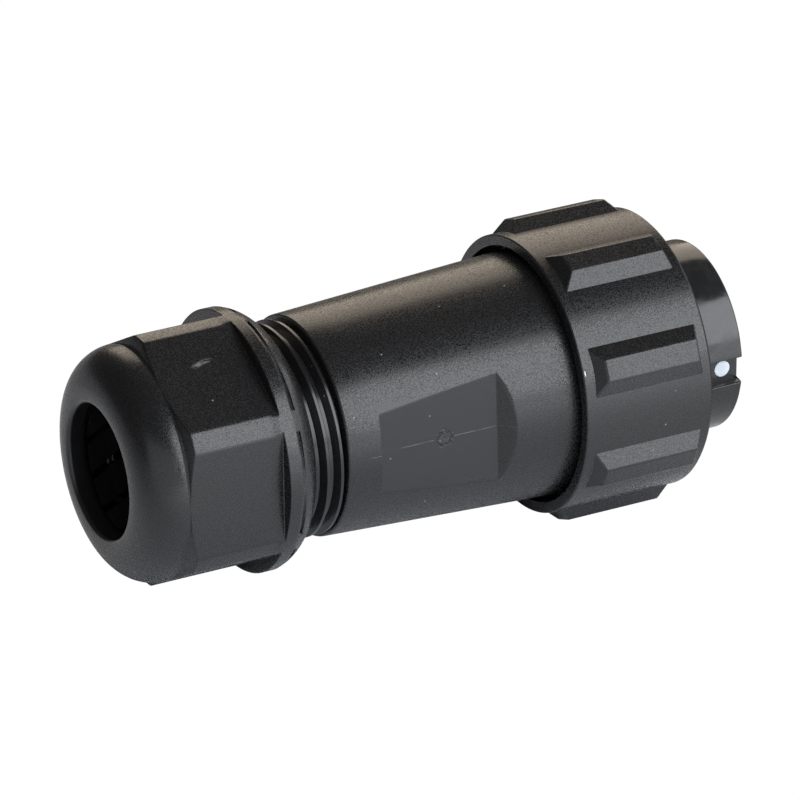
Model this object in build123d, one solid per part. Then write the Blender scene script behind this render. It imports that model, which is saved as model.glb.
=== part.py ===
from build123d import *
import math
import os

# Circular cable connector, in millimetres.
# +X runs along the connector to its mating face, and +Z is up.
# The origin is on the axis, in the plane of the gasket where the mating socket's rim seats.
# Angles round the axis are measured from -Y, the side with the keyway, upwards to +Z.

# Plug sleeve, which the rest is built round
sleeve_diameter = 24.6
sleeve_reach = 7.6
sleeve_rim = 0.5
sleeve_wall = 2.4
sleeve_lip_height = 0.6
sleeve_lip_length = 1.6
sleeve_flange_thickness = 1.8
sleeve_spigot_length = 14.3

# Keyway and index mark of the plug sleeve
keyway_width = 3.5
keyway_depth = 1.5
keyway_length = 6.4
mark_diameter = 2.2
mark_from_face = 2.2
mark_thickness = 0.5
mark_stand = 0.08

# Gasket and O-ring of the sleeve
gasket_thickness = 1.4
gasket_inset = 0.1
gasket_land_depth = 0.2
seal_cord_diameter = 1.4
seal_groove_width = 1.8
seal_from_flange = 7.4

# Coupling ring, outside and inside
ring_length = 18.2
ring_wall = 2.0
ring_cavity_step = 1.5
ring_mouth_wall = 1.45
ring_edge_chamfer = 0.42
lip_depth = 3.7
flange_thickness = 2.2
coupling_thread_depth = 0.75
coupling_thread_length = 8.0
coupling_lead_in = 0.9
coupling_lead_out = 0.6
coupling_mouth_flare = 0.5

# Grip ribs of the coupling ring
rib_count = 8
rib_height = 1.45
rib_top_width = 2.8
rib_base_width = 6.3
rib_rear_gap = 1.6
rib_front_gap = 1.6
rib_rear_slope = 1.1
rib_front_slope = 0.8
rib_edge_radius = 0.2
rib_root = 0.6
rib_turn = 22.3

# Spring ring that holds the coupling ring on its journal
journal_wall = 2.2
journal_beyond_retainer = 1.4
retainer_thickness = 1.1
retainer_inset = 0.7
retainer_groove_depth = 0.8
retainer_opening = 50.0

# Barrel of the housing, with its sunk wrench flats
barrel_length = 31.4
barrel_mouth_gap = 0.8
barrel_taper = 1.6
barrel_edge = 0.35
barrel_under_ring = 3.4
flat_depth = 0.75
flat_length = 16.4
flat_from_shoulder = 4.7
flat_front_slope = 44.0
flat_rear_slope = 11.0
flat_turn = 3.5
gate_mark_from_flat_rear = 9.0
gate_mark_diameter = 2.4
gate_mark_width = 0.3
gate_mark_depth = 0.05

# Threaded tail of the housing, and what its bore holds
bare_thread = 4.6
shoulder_step = 0.35
thread_pitch = 1.9
thread_depth = 1.05
thread_crest_share = 0.24
thread_base_share = 0.78
thread_root_overlap = 0.3
thread_relief = 0.9
tail_end_gap = 0.4
tail_wall = 1.55
seat_from_shoulder = 1.2
seat_thickness = 1.6
seal_length = 8.0
seal_taper = 1.2
washer_thickness = 1.0
tighten_travel = 3.4

# Cable hole, and how far each bore behind it stands from it
seal_wall = 2.65
seal_squeeze = 0.05
seat_hole_step = 0.05
washer_bore_step = 0.15
cage_bore_step = 0.55
cage_tip_step = 0.1
throat_step = 1.1

# Gland nut: nose, hexagon with turned corners, collar and groove
nut_length = 22.8
nut_flat_wall = 1.2
nut_corner_rise = 1.6
nose_radius = 5.4
nose_shoulder = 0.7
hole_edge_radius = 0.5
collar_length = 4.7
collar_rise = 2.95
collar_rear_rise = 0.5
collar_straight = 1.5
collar_root_radius = 1.0
collar_bulge_forward = 0.25
collar_bulge_out = 0.3
groove_from_rear = 2.45
groove_width = 0.4
groove_depth = 0.35
hex_sides = 6
hex_turn = 31.0
nut_waist_length = 2.4
nut_cone_length = 2.6
nut_hole_length = 2.6

# Clamp cage
cage_ring_length = 4.4
cage_land = 0.6
cage_lip_height = 1.0
cage_lip_width = 0.9
cage_lip_chamfer = 0.3
cage_finger_count = 12
cage_slit_width = 0.9
cage_slit_slant = 24.0

# Contact insert and contacts
insert_face_inset = 0.4
insert_length = 26.6
insert_socket_diameter = 2.9
contact_count = 6
contact_diameter = 3.4
contact_bore = 2.4
contact_bore_depth = 12.0
contact_inset = 1.6
contact_slit_width = 0.4
contact_slit_length = 7.0
contact_barrel_diameter = 4.2
contact_barrel_length = 7.0
wire_hole_diameter = 2.6
wire_hole_depth = 5.6
screw_diameter = 2.2
screw_length = 2.2
screw_from_end = 2.4
screw_slot_width = 0.4
screw_slot_depth = 0.6
lock_ring_thickness = 2.0
lock_ring_wall = 1.3
lock_ring_notch = 1.2

# Clearances
running_gap = 0.08
slide_gap = 0.1
loose_gap = 0.3
seat_gap = 0.05
snap_gap = 0.15
past = 1.0

# Radii, from the sleeve outwards to the ring, back to the barrel, and inwards to the tail's bore
sleeve_r = sleeve_diameter / 2
sleeve_bore_r = sleeve_r - sleeve_wall
sleeve_lip_r = sleeve_bore_r - sleeve_lip_height
spigot_bore_r = sleeve_r + running_gap
journal_r = sleeve_r + journal_wall
gasket_land_r = sleeve_r - gasket_land_depth
ring_cavity_r = journal_r + ring_cavity_step
ring_r = ring_cavity_r + ring_wall
ring_mouth_r = ring_r - ring_mouth_wall
barrel_front_r = ring_mouth_r - barrel_mouth_gap
barrel_rear_r = barrel_front_r - barrel_taper
thread_r = barrel_rear_r - shoulder_step
thread_root_r = thread_r - thread_depth
chamber_r = thread_root_r - tail_wall
nut_bore_r = thread_r + running_gap
nut_flat_r = thread_r + nut_flat_wall
nut_corner_r = nut_flat_r + nut_corner_rise
collar_r = thread_r + collar_rise
collar_rear_r = thread_r + collar_rear_rise
cable_hole_r = chamber_r - seal_wall
nut_throat_r = cable_hole_r + throat_step
nut_waist_r = chamber_r + loose_gap
cage_outer_r = chamber_r - slide_gap
cage_bore_r = cable_hole_r + cage_bore_step
cage_lip_r = cage_outer_r + cage_lip_height
lock_ring_bore_r = sleeve_bore_r - lock_ring_wall
contact_barrel_r = contact_barrel_diameter / 2
contact_circle_r = lock_ring_bore_r - contact_barrel_r - loose_gap

# Stations along the axis, from the gasket's front face backwards, then forwards to the mating face
gasket_rear = -gasket_thickness
sleeve_flange_front = gasket_rear - seat_gap
journal_front = sleeve_flange_front - sleeve_flange_thickness
retainer_front = journal_front - journal_beyond_retainer
retainer_rear = retainer_front - retainer_thickness
flange_front = retainer_rear - loose_gap
flange_rear = flange_front - flange_thickness
ring_rear = flange_rear - lip_depth
barrel_front = ring_rear + barrel_under_ring
shoulder = ring_rear - barrel_length
nut_rear = shoulder - bare_thread
nose_face = nut_rear - nut_length
ring_front = ring_rear + ring_length
sleeve_front = ring_front + sleeve_reach
sleeve_rear = journal_front - sleeve_spigot_length
seal_seat = shoulder - seat_from_shoulder
seat_front = seal_seat + seat_thickness
washer_rear = seal_seat - 2 * seat_gap - seal_length - washer_thickness
cage_front = washer_rear - tighten_travel - loose_gap
nut_hole_front = nose_face + nut_hole_length
nut_cone_front = nut_hole_front + nut_cone_length
nut_step = nut_cone_front + nut_waist_length
tail_end = nut_step + tighten_travel + tail_end_gap
cage_rear = nut_hole_front + snap_gap
lip_front = nut_step - cage_land - snap_gap
lip_rear = lip_front - cage_lip_width
insert_front = sleeve_front - insert_face_inset
insert_rear = insert_front - insert_length
contact_front = insert_front - contact_inset
contact_rear = insert_rear - contact_barrel_length


def turned(points):
    """Solid of revolution about X from points of place along the axis and radius."""
    profile = make_face(Polyline(*points, close=True))
    return revolve(profile, axis=Axis.X)


def tube(rear, front, outer_radius, inner_radius):
    """Plain ring or tube between two places along the axis."""
    return turned([(rear, inner_radius), (front, inner_radius), (front, outer_radius), (rear, outer_radius)])


def rod(rear, front, radius):
    """Plain round bar between two places along the axis."""
    return turned([(rear, 0), (front, 0), (front, radius), (rear, radius)])


def about_axis(shape, angle):
    """Turns a feature made on the -Y side up towards +Z by an angle."""
    return Rotation(-angle, 0, 0) * shape


def thread_ridge(root_radius, crest_radius, rear, front):
    """Helical ridge of flat-topped section that stands on a round core, cut square at both ends."""
    turns = math.ceil((front - rear) / thread_pitch) + 2
    path = Helix(
        pitch=thread_pitch,
        height=turns * thread_pitch,
        radius=root_radius,
        center=(rear - thread_pitch, 0, 0),
        direction=(1, 0, 0),
    )
    depth = crest_radius - root_radius
    sunk = thread_root_overlap
    crest_width = thread_crest_share * thread_pitch
    base_width = thread_base_share * thread_pitch
    flank = (base_width - crest_width) / 2
    sunk_width = base_width + 2 * flank * sunk / depth
    start = path @ 0
    outward = Vector(0, start.Y, start.Z).normalized()
    section_plane = Plane(origin=start, x_dir=outward, z_dir=Vector(1, 0, 0).cross(outward))
    section = make_face(
        Polyline(
            (-sunk, -sunk_width / 2),
            (depth, -crest_width / 2),
            (depth, crest_width / 2),
            (-sunk, sunk_width / 2),
            close=True,
        )
    )
    ridge = sweep(section_plane * section, path=path, is_frenet=True)
    limits = tube(rear, front, crest_radius + past, root_radius - 2 * sunk)
    return ridge & limits


def make_housing():
    """Moulded body: threaded tail, tapered barrel with wrench flats, and the journal for the ring."""
    slope = barrel_taper / barrel_length
    body = turned(
        [
            (tail_end, 0),
            (tail_end, thread_root_r),
            (shoulder, thread_root_r),
            (shoulder, barrel_rear_r - barrel_edge),
            (shoulder + barrel_edge, barrel_rear_r + slope * barrel_edge),
            (barrel_front, barrel_front_r + slope * barrel_under_ring),
            (barrel_front, journal_r),
            (journal_front, journal_r),
            (journal_front, 0),
        ]
    )
    body += thread_ridge(thread_root_r, thread_r, tail_end, shoulder - thread_relief)
    body -= rod(journal_front + past, sleeve_rear - loose_gap, spigot_bore_r)
    body -= rod(seat_front, sleeve_rear, chamber_r)
    body -= rod(seal_seat - past, seat_front + past, cable_hole_r + seat_hole_step)
    body -= rod(tail_end - past, seal_seat, chamber_r)
    body -= tube(
        retainer_rear - seat_gap,
        retainer_front + seat_gap,
        journal_r + past,
        journal_r - retainer_groove_depth,
    )
    flat_r = barrel_rear_r - flat_depth
    flat_rear = shoulder + flat_from_shoulder
    flat_front = flat_rear + flat_length
    reach = ring_r - flat_r
    front_run = reach * math.tan(math.radians(flat_front_slope))
    rear_run = reach * math.tan(math.radians(flat_rear_slope))
    slot = Plane.XY * make_face(
        Polyline(
            (flat_rear, -flat_r),
            (flat_front, -flat_r),
            (flat_front + front_run, -ring_r),
            (flat_rear - rear_run, -ring_r),
            close=True,
        )
    )
    slot = extrude(slot, amount=ring_r, both=True)
    body -= about_axis(slot, flat_turn)
    body -= about_axis(slot, flat_turn + 180)
    gate = Plane(origin=(flat_rear + gate_mark_from_flat_rear, -flat_r - past, 0), z_dir=(0, 1, 0))
    mark_r = gate_mark_diameter / 2
    mark = Circle(mark_r) - Circle(mark_r - gate_mark_width)
    body -= about_axis(extrude(gate * mark, amount=past + gate_mark_depth), flat_turn)
    return body


def make_grip_rib():
    """One grip rib at -Y: a trapezoid across the ring, sloped at both ends, with softened edges."""
    half_base = rib_base_width / 2
    half_top = rib_top_width / 2
    base_out = math.sqrt(ring_r**2 - half_base**2)
    top_out = ring_r + rib_height
    lean = (half_base - half_top) / (top_out - base_out)
    base_rear = ring_rear + rib_rear_gap
    base_front = ring_front - rib_front_gap
    section = Plane.YZ.offset(base_rear) * make_face(
        Polyline(
            (-base_out + rib_root, -half_base - rib_root * lean),
            (-top_out, -half_top),
            (-top_out, half_top),
            (-base_out + rib_root, half_base + rib_root * lean),
            close=True,
        )
    )
    bar = extrude(section, amount=base_front - base_rear)
    side = Plane.XY * make_face(
        Polyline(
            (base_rear, -ring_r + past),
            (base_rear, -ring_r),
            (base_rear + rib_rear_slope, -top_out),
            (base_front - rib_front_slope, -top_out),
            (base_front, -ring_r),
            (base_front, -ring_r + past),
            close=True,
        )
    )
    rib = bar & extrude(side, amount=rib_base_width, both=True)
    top = rib.faces().sort_by(Axis.Y)[0]
    return fillet(top.edges(), rib_edge_radius)


def make_coupling_ring():
    """Ring with raised trapezoid grip ribs, a rear lip, an inner flange and a mating thread."""
    crest_r = ring_cavity_r - coupling_thread_depth
    thread_front = ring_front - coupling_lead_in
    thread_rear = thread_front - coupling_thread_length
    ring = turned(
        [
            (ring_rear, ring_mouth_r),
            (flange_rear, ring_mouth_r),
            (flange_rear, journal_r + running_gap),
            (flange_front, journal_r + running_gap),
            (flange_front, ring_cavity_r),
            (thread_rear - coupling_lead_out, ring_cavity_r),
            (thread_rear, crest_r),
            (thread_front, crest_r),
            (ring_front, crest_r + coupling_mouth_flare),
            (ring_front, ring_r - ring_edge_chamfer),
            (ring_front - ring_edge_chamfer, ring_r),
            (ring_rear + ring_edge_chamfer / 2, ring_r),
            (ring_rear, ring_r - ring_edge_chamfer / 2),
        ]
    )
    rib = make_grip_rib()
    for index in range(rib_count):
        ring += about_axis(rib, rib_turn + index * 360 / rib_count)
    return ring


def make_ring_retainer():
    """Open spring ring in the journal's groove, just in front of the coupling ring's flange."""
    inner_r = journal_r - retainer_groove_depth + seat_gap
    outer_r = ring_cavity_r - retainer_inset
    retainer = tube(retainer_rear, retainer_front, outer_r, inner_r)
    half = math.radians(retainer_opening / 2)
    out = 2 * outer_r
    wedge = Plane.YZ.offset(retainer_rear - past) * make_face(
        Polyline((0, 0), (out * math.sin(half), out), (-out * math.sin(half), out), close=True)
    )
    return retainer - extrude(wedge, amount=retainer_thickness + 2 * past)


def make_plug_sleeve():
    """Front sleeve with its flange, gasket land, seal groove, inner lip and keyway."""
    sleeve = turned(
        [
            (sleeve_rear, sleeve_bore_r),
            (sleeve_rear, sleeve_r - sleeve_rim),
            (sleeve_rear + sleeve_rim, sleeve_r),
            (journal_front, sleeve_r),
            (journal_front, journal_r),
            (sleeve_flange_front, journal_r),
            (sleeve_flange_front, gasket_land_r),
            (0, gasket_land_r),
            (0, sleeve_r),
            (sleeve_front - sleeve_rim, sleeve_r),
            (sleeve_front, sleeve_r - sleeve_rim),
            (sleeve_front, sleeve_lip_r),
            (sleeve_front - sleeve_lip_length, sleeve_lip_r),
            (sleeve_front - sleeve_lip_length, sleeve_bore_r),
        ]
    )
    groove_centre = journal_front - seal_from_flange
    sleeve -= tube(
        groove_centre - seal_groove_width / 2,
        groove_centre + seal_groove_width / 2,
        sleeve_r + past,
        spigot_bore_r - seal_cord_diameter - seat_gap,
    )
    sleeve -= Location((sleeve_front - keyway_length / 2 + past / 2, -sleeve_r, 0)) * Box(
        keyway_length + past, 2 * keyway_depth, keyway_width
    )
    pocket = Location((sleeve_front - mark_from_face, -sleeve_r + keyway_depth, 0)) * Cylinder(
        mark_diameter / 2 + seat_gap, 2 * (mark_thickness - mark_stand), rotation=(90, 0, 0)
    )
    return sleeve - pocket


def make_index_mark():
    """White round plug set in the keyway's floor."""
    floor = -sleeve_r + keyway_depth
    centre = floor - mark_stand + mark_thickness / 2
    return Location((sleeve_front - mark_from_face, centre, 0)) * Cylinder(
        mark_diameter / 2, mark_thickness - seat_gap, rotation=(90, 0, 0)
    )


def make_sleeve_seal():
    """O-ring between the sleeve and the housing."""
    cord_r = seal_cord_diameter / 2 - seat_gap
    centre = journal_front - seal_from_flange
    section = Plane.XY * Location((centre, spigot_bore_r - seal_cord_diameter / 2)) * Circle(cord_r)
    return revolve(section, axis=Axis.X)


def make_interface_gasket():
    """Flat rubber ring that the mating socket presses on the sleeve's flange."""
    return tube(gasket_rear, 0, journal_r - gasket_inset, gasket_land_r + seat_gap)


def contact_places():
    """Centres of the contacts as across and up offsets: the ring of six, then the earth in the middle."""
    places = []
    for index in range(contact_count):
        angle = math.radians(index * 360 / contact_count)
        places.append((-contact_circle_r * math.cos(angle), contact_circle_r * math.sin(angle)))
    places.append((0.0, 0.0))
    return places


def make_contact_insert():
    """Insulator that stands in the sleeve, with a stepped hole for each contact."""
    step = sleeve_front - sleeve_lip_length - seat_gap
    insert = turned(
        [
            (insert_rear, 0),
            (insert_rear, sleeve_bore_r - seat_gap),
            (step, sleeve_bore_r - seat_gap),
            (step, sleeve_lip_r - seat_gap),
            (insert_front, sleeve_lip_r - seat_gap),
            (insert_front, 0),
        ]
    )
    mouth = rod(contact_front - past, insert_front + past, insert_socket_diameter / 2)
    hole = rod(insert_rear - past, contact_front, contact_diameter / 2 + seat_gap)
    for across, up in contact_places():
        insert -= Location((0, across, up)) * mouth
        insert -= Location((0, across, up)) * hole
    return insert


def make_contact():
    """Turned socket contact with a slit front and a wire barrel behind, on the axis."""
    contact = turned(
        [
            (contact_rear, 0),
            (contact_rear, contact_barrel_r),
            (insert_rear - seat_gap, contact_barrel_r),
            (insert_rear - seat_gap, contact_diameter / 2),
            (contact_front - seat_gap, contact_diameter / 2),
            (contact_front - seat_gap, 0),
        ]
    )
    contact -= rod(contact_front - contact_bore_depth, contact_front + past, contact_bore / 2)
    contact -= rod(contact_rear - past, contact_rear + wire_hole_depth, wire_hole_diameter / 2)
    contact -= Location((contact_front - contact_slit_length / 2 + past / 2, 0, 0)) * Box(
        contact_slit_length + past, contact_slit_width, 2 * contact_diameter
    )
    screw_hole = Location((contact_rear + screw_from_end, -contact_barrel_r, 0)) * Cylinder(
        screw_diameter / 2 + seat_gap, contact_barrel_diameter, rotation=(90, 0, 0)
    )
    return contact - screw_hole


def screw_angles():
    """Direction of each contact's screw: outwards on the ring, between two neighbours in the middle."""
    angles = []
    for index in range(contact_count):
        angles.append(index * 360 / contact_count)
    angles.append(180 / contact_count)
    return angles


def make_terminal_screw():
    """Headless slotted screw, flush with the barrel of a contact on the axis, pointing to -Y."""
    place = contact_rear + screw_from_end
    screw = Location((place, -contact_barrel_r + screw_length / 2, 0)) * Cylinder(
        screw_diameter / 2, screw_length, rotation=(90, 0, 0)
    )
    slot = Location((place, -contact_barrel_r, 0)) * Box(
        2 * screw_diameter, 2 * screw_slot_depth, screw_slot_width
    )
    return screw - slot


def make_insert_lock_ring():
    """Ring in the sleeve's bore behind the insert, with two notches for a pin key."""
    front = insert_rear - seat_gap
    rear = front - lock_ring_thickness
    ring = tube(rear, front, sleeve_bore_r - seat_gap, lock_ring_bore_r)
    notch = Location((rear, 0, 0)) * Box(lock_ring_thickness, 2 * sleeve_bore_r, lock_ring_notch)
    return ring - notch


def make_gland_seal():
    """Rubber bush in the tail's bore, with a tapered rear end."""
    front = seal_seat - seat_gap
    rear = front - seal_length
    outer_r = chamber_r - slide_gap
    inner_r = cable_hole_r - seal_squeeze
    return turned(
        [
            (rear, inner_r),
            (front, inner_r),
            (front, outer_r),
            (rear + seal_taper, outer_r),
            (rear, outer_r - seal_taper / 2),
        ]
    )


def make_thrust_washer():
    """Slip washer between the seal and the clamp cage."""
    front = washer_rear + washer_thickness
    return tube(washer_rear, front, chamber_r - slide_gap, cable_hole_r + washer_bore_step)


def make_clamp_cage():
    """Ring of slanted fingers that bends onto the cable, held in the nut by a snap lip."""
    cone_start = nut_cone_front + snap_gap
    cage = turned(
        [
            (cage_front, cage_bore_r),
            (cage_front, cage_outer_r),
            (lip_front, cage_outer_r),
            (lip_front, cage_lip_r),
            (lip_rear + cage_lip_chamfer, cage_lip_r),
            (lip_rear, cage_outer_r),
            (cone_start, cage_outer_r),
            (cage_rear, nut_throat_r - snap_gap),
            (cage_rear, cable_hole_r + cage_tip_step),
            (cone_start, cage_bore_r),
        ]
    )
    slit_front = cage_front - cage_ring_length
    length = 2 * (slit_front - cage_rear)
    depth = 2 * (cage_lip_r - cage_bore_r + past)
    back = length / 2 * math.cos(math.radians(cage_slit_slant))
    cut = Rotation(0, cage_slit_slant, 0) * Box(length, depth, cage_slit_width)
    cut = Location((slit_front - back, -cage_outer_r, 0)) * cut
    for index in range(cage_finger_count):
        cage -= about_axis(cut, index * 360 / cage_finger_count)
    return cage


def make_nut_trunk():
    """Hexagon with turned corners, and a soft root where each flat meets the collar."""
    collar_front = nut_rear - collar_length
    shoulder_rear = nose_face + nose_radius
    outline = Plane.XY * make_face(
        Polyline(
            (shoulder_rear, 0),
            (shoulder_rear, nut_flat_r),
            (shoulder_rear + nose_shoulder, nut_corner_r),
            (collar_front + past, nut_corner_r),
            (collar_front + past, 0),
            close=True,
        )
    )
    hexagon = Plane.YZ.offset(shoulder_rear) * RegularPolygon(nut_flat_r, hex_sides, major_radius=False)
    prism = extrude(hexagon, amount=collar_front + past - shoulder_rear)
    root = Plane.XY * make_face(
        Polyline(
            (collar_front - collar_root_radius, -nut_flat_r),
            (collar_front - collar_root_radius, -nut_flat_r + past),
            (collar_front + past, -nut_flat_r + past),
            (collar_front + past, -nut_flat_r - collar_root_radius),
            (collar_front, -nut_flat_r - collar_root_radius),
        )
        + RadiusArc(
            (collar_front, -nut_flat_r - collar_root_radius),
            (collar_front - collar_root_radius, -nut_flat_r),
            -collar_root_radius,
        )
    )
    root = extrude(root, amount=nut_corner_r, both=True)
    for index in range(hex_sides):
        prism += about_axis(root, (index + 0.5) * 360 / hex_sides)
    return revolve(outline, axis=Axis.X) & about_axis(prism, hex_turn)


def make_nut_collar():
    """Rounded collar of the nut, with a groove that is broken at the six corners."""
    collar_front = nut_rear - collar_length
    straight_end = collar_front + collar_straight
    profile = Plane.XY * make_face(
        Polyline((nut_rear, 0), (collar_front, 0), (collar_front, collar_r), (straight_end, collar_r))
        + ThreePointArc(
            (straight_end, collar_r),
            (
                (straight_end + nut_rear) / 2 + collar_bulge_forward,
                (collar_r + collar_rear_r) / 2 + collar_bulge_out,
            ),
            (nut_rear, collar_rear_r),
        )
        + Line((nut_rear, collar_rear_r), (nut_rear, 0))
    )
    groove_centre = nut_rear - groove_from_rear
    fraction = (nut_rear - groove_centre) / (nut_rear - straight_end)
    surface_r = collar_rear_r + (collar_r - collar_rear_r) * fraction + collar_bulge_out
    groove = tube(
        groove_centre - groove_width / 2,
        groove_centre + groove_width / 2,
        collar_r + past,
        surface_r - groove_depth,
    )
    half_strip = math.pi / hex_sides - math.acos(nut_flat_r / nut_corner_r)
    bridge_width = 2 * nut_corner_r * math.sin(half_strip)
    bridge = Location((groove_centre, -collar_r, 0)) * Box(2 * groove_width, collar_r, bridge_width)
    for index in range(hex_sides):
        groove -= about_axis(bridge, hex_turn + index * 360 / hex_sides)
    return revolve(profile, axis=Axis.X) - groove


def make_gland_nut():
    """Gland nut: domed nose, hexagon, collar, and a stepped bore that takes the thread and the cage."""
    shoulder_rear = nose_face + nose_radius
    dome_r = nut_flat_r - nose_radius
    dome = Plane.XY * make_face(
        Line((nose_face, 0), (nose_face, dome_r))
        + RadiusArc((nose_face, dome_r), (shoulder_rear, nut_flat_r), nose_radius)
        + Line((shoulder_rear, nut_flat_r), (shoulder_rear, 0))
        + Line((shoulder_rear, 0), (nose_face, 0))
    )
    nut = revolve(dome, axis=Axis.X) + make_nut_trunk() + make_nut_collar()
    bore = turned(
        [
            (nut_rear + past, 0),
            (nut_rear + past, nut_bore_r),
            (nut_step, nut_bore_r),
            (nut_step, nut_waist_r),
            (nut_step - cage_land, nut_waist_r),
            (nut_step - cage_land, cage_lip_r + snap_gap),
            (lip_rear - snap_gap, cage_lip_r + snap_gap),
            (lip_rear - snap_gap, nut_waist_r),
            (nut_cone_front, nut_waist_r),
            (nut_hole_front, nut_throat_r),
            (nut_hole_front, cable_hole_r),
            (nose_face + hole_edge_radius, cable_hole_r),
            (nose_face - hole_edge_radius, cable_hole_r + 2 * hole_edge_radius),
            (nose_face - hole_edge_radius, 0),
        ]
    )
    return nut - bore


parts = {
    "gland_nut": make_gland_nut(),
    "clamp_cage": make_clamp_cage(),
    "thrust_washer": make_thrust_washer(),
    "gland_seal": make_gland_seal(),
    "housing": make_housing(),
    "coupling_ring": make_coupling_ring(),
    "ring_retainer": make_ring_retainer(),
    "plug_sleeve": make_plug_sleeve(),
    "index_mark": make_index_mark(),
    "sleeve_seal": make_sleeve_seal(),
    "interface_gasket": make_interface_gasket(),
    "contact_insert": make_contact_insert(),
    "insert_lock_ring": make_insert_lock_ring(),
}

contact = make_contact()
terminal_screw = make_terminal_screw()
screws = []
for number, (place, angle) in enumerate(zip(contact_places(), screw_angles()), start=1):
    across, up = place
    name = f"contact_{number}" if number <= contact_count else "contact_earth"
    parts[name] = Location((0, across, up)) * about_axis(contact, angle)
    screws.append(Location((0, across, up)) * about_axis(terminal_screw, angle))
parts["terminal_screws"] = Compound(children=[screw.solid() for screw in screws])

os.makedirs("parts", exist_ok=True)
for name, shape in parts.items():
    export_step(shape, f"parts/{name}.step")
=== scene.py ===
"""Dresses the circular cable connector: finely rounded shells, thread, grip ribs and finishes.

Laid out as a Blender add-on and run as a script. Lengths are in metres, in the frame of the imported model:
+X runs to the mating face, +Z is up, and angles round the axis are measured from -Y upwards to +Z.
"""

import cmath
from math import acos, asin, atan2, ceil, cos, floor, hypot, pi, radians, sin, sqrt, tan

import bmesh
import bpy
import numpy as np
from bpy.props import FloatProperty, FloatVectorProperty, IntProperty, PointerProperty
from mathutils import Matrix, Vector


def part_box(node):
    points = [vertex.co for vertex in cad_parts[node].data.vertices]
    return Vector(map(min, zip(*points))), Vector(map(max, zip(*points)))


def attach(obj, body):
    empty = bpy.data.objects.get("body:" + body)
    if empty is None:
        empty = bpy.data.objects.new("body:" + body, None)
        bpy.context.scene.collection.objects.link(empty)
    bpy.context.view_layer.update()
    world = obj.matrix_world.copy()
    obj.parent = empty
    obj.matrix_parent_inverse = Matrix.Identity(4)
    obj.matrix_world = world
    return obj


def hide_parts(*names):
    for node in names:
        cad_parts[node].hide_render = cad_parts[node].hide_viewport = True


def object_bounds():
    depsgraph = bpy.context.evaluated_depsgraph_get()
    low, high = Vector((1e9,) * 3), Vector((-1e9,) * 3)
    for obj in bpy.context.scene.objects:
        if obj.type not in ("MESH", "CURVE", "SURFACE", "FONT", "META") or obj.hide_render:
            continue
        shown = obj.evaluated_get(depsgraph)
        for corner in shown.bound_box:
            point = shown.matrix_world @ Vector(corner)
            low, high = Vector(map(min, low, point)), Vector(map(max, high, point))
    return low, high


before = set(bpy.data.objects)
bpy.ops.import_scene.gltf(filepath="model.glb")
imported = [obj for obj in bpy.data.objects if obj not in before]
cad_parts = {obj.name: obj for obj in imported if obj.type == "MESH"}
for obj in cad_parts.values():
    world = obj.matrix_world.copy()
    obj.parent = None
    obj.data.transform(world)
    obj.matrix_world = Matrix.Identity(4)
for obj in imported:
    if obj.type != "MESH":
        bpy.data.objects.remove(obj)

bl_info = {
    "name": "Circular cable connector",
    "version": (1, 0, 0),
    "blender": (4, 5, 0),
    "location": "3D View > Sidebar > Connector",
    "description": "Builds the shells, thread, ribs and finishes of a circular cable connector",
    "category": "Object",
}

MM = 0.001
# Rounds of the edges, from the finest to the softest
EDGE_FINE = 0.1 * MM
EDGE = 0.12 * MM
EDGE_WIDE = 0.15 * MM
EDGE_SOFT = 0.2 * MM
# Gap between a seated piece and its seat
SEAT = 0.05 * MM
# Angle over which an edge is shown sharp, a quarter turn, and half of one of the nut's six sides
SHARP = radians(40)
QUARTER = radians(90)
HALF_SIDE = radians(30)
CAD_LOW, CAD_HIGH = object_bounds()
BOX = {node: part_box(node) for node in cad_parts}


def rear(node):
    """Place of a node's rear end along the axis."""
    return BOX[node][0].x


def front(node):
    """Place of a node's front end along the axis."""
    return BOX[node][1].x


def length(title, text, value):
    """A size that the user can change, given in millimetres and kept in metres."""
    return FloatProperty(name=title, description=text, default=value * MM, unit="LENGTH", precision=5)


def degrees(title, text, value):
    """An angle that the user can change, kept in radians."""
    return FloatProperty(name=title, description=text, default=radians(value), subtype="ANGLE")


def number(title, text, value):
    """A plain number that the user can change."""
    return FloatProperty(name=title, description=text, default=value)


def shade(title, text, *value):
    """A colour in scene linear light."""
    return FloatVectorProperty(name=title, description=text, default=value, size=3, min=0.0, subtype="COLOR")


class NutSizes(bpy.types.PropertyGroup):
    """Sizes of the gland nut."""

    hole_radius: length("Cable hole", "Radius of the cable hole", 8.55)
    nose_radius: length("Nose round", "Radius of the domed nose", 5.4)
    flat_radius: length("Flat", "Distance of each flat from the axis", 15.0)
    corner_radius: length("Corner", "Radius of the turned corners", 16.6)
    corner_rise: length("Corner slope", "Run of the slope where a corner starts", 0.7)
    collar_radius: length("Collar", "Radius of the collar", 16.75)
    collar_length: length("Collar length", "Length of the collar", 4.7)
    collar_straight: length("Collar straight", "Straight part of the collar", 1.5)
    collar_rear_radius: length("Collar end", "Radius where the collar ends", 14.3)
    root_radius: length("Flat root", "Round at the foot of the wall that ends a flat", 0.12)
    root_slope: degrees("Flat wall", "Slope of the wall that ends a flat", 88.0)
    strip_growth: length("Strip growth", "Run over which a corner's strip grows to the collar", 1.3)
    groove_offset: length("Groove place", "Groove's distance from the nut's rear", 2.68)
    groove_width: length("Groove width", "Width of the groove at a corner", 0.55)
    groove_depth: length("Groove depth", "Depth of the groove at a corner", 0.45)
    bore_radius: length("Bore", "Radius of the threaded bore", 13.88)
    turn: degrees("Turn", "Angle of the first corner", 31.0)


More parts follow.
